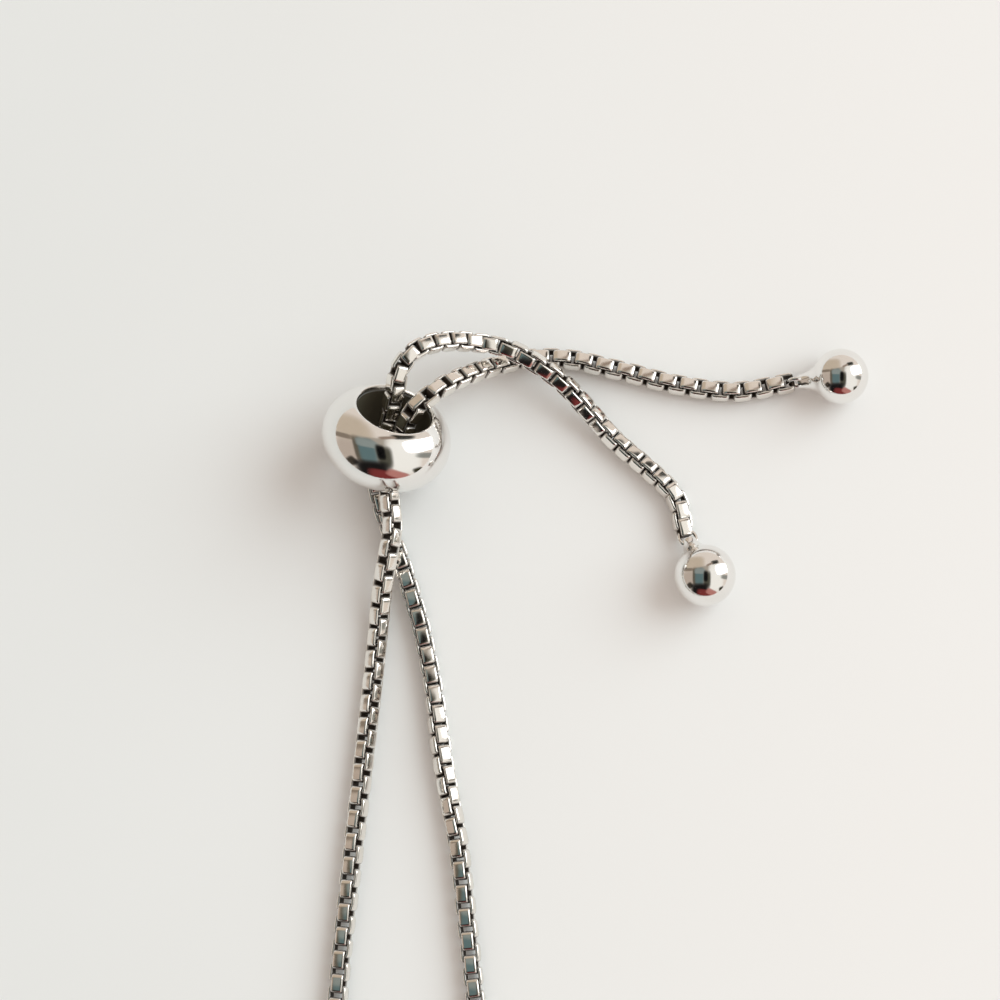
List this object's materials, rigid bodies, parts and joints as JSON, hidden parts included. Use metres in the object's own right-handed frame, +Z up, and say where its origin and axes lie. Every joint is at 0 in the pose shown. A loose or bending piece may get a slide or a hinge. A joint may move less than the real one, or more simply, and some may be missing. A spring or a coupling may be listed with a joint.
{
  "type": "adjustable slider bracelet",
  "caption": "Box-chain bracelet whose two strands pass through a round slider bead, with a small ball, necked to an eye, at each free end.",
  "frame": {"origin": "centre of the bounding box's base, on the surface that the bracelet lies on", "axes": "+Z up from the surface, +Y from the loop towards the slider bead, +X towards the free ends"},
  "size_m": [0.0455, 0.0926, 0.0081],
  "materials": {
    "polished_metal": "mirror polished, silver tone",
    "chain_metal": "polished, silver tone, slightly duller than the beads"
  },
  "bodies": {
    "root": {"slider_bead": "polished_metal", "end_ball_right": "polished_metal", "end_ball_lower": "polished_metal", "box_chain": "chain_metal"}
  },
  "joints": []
}
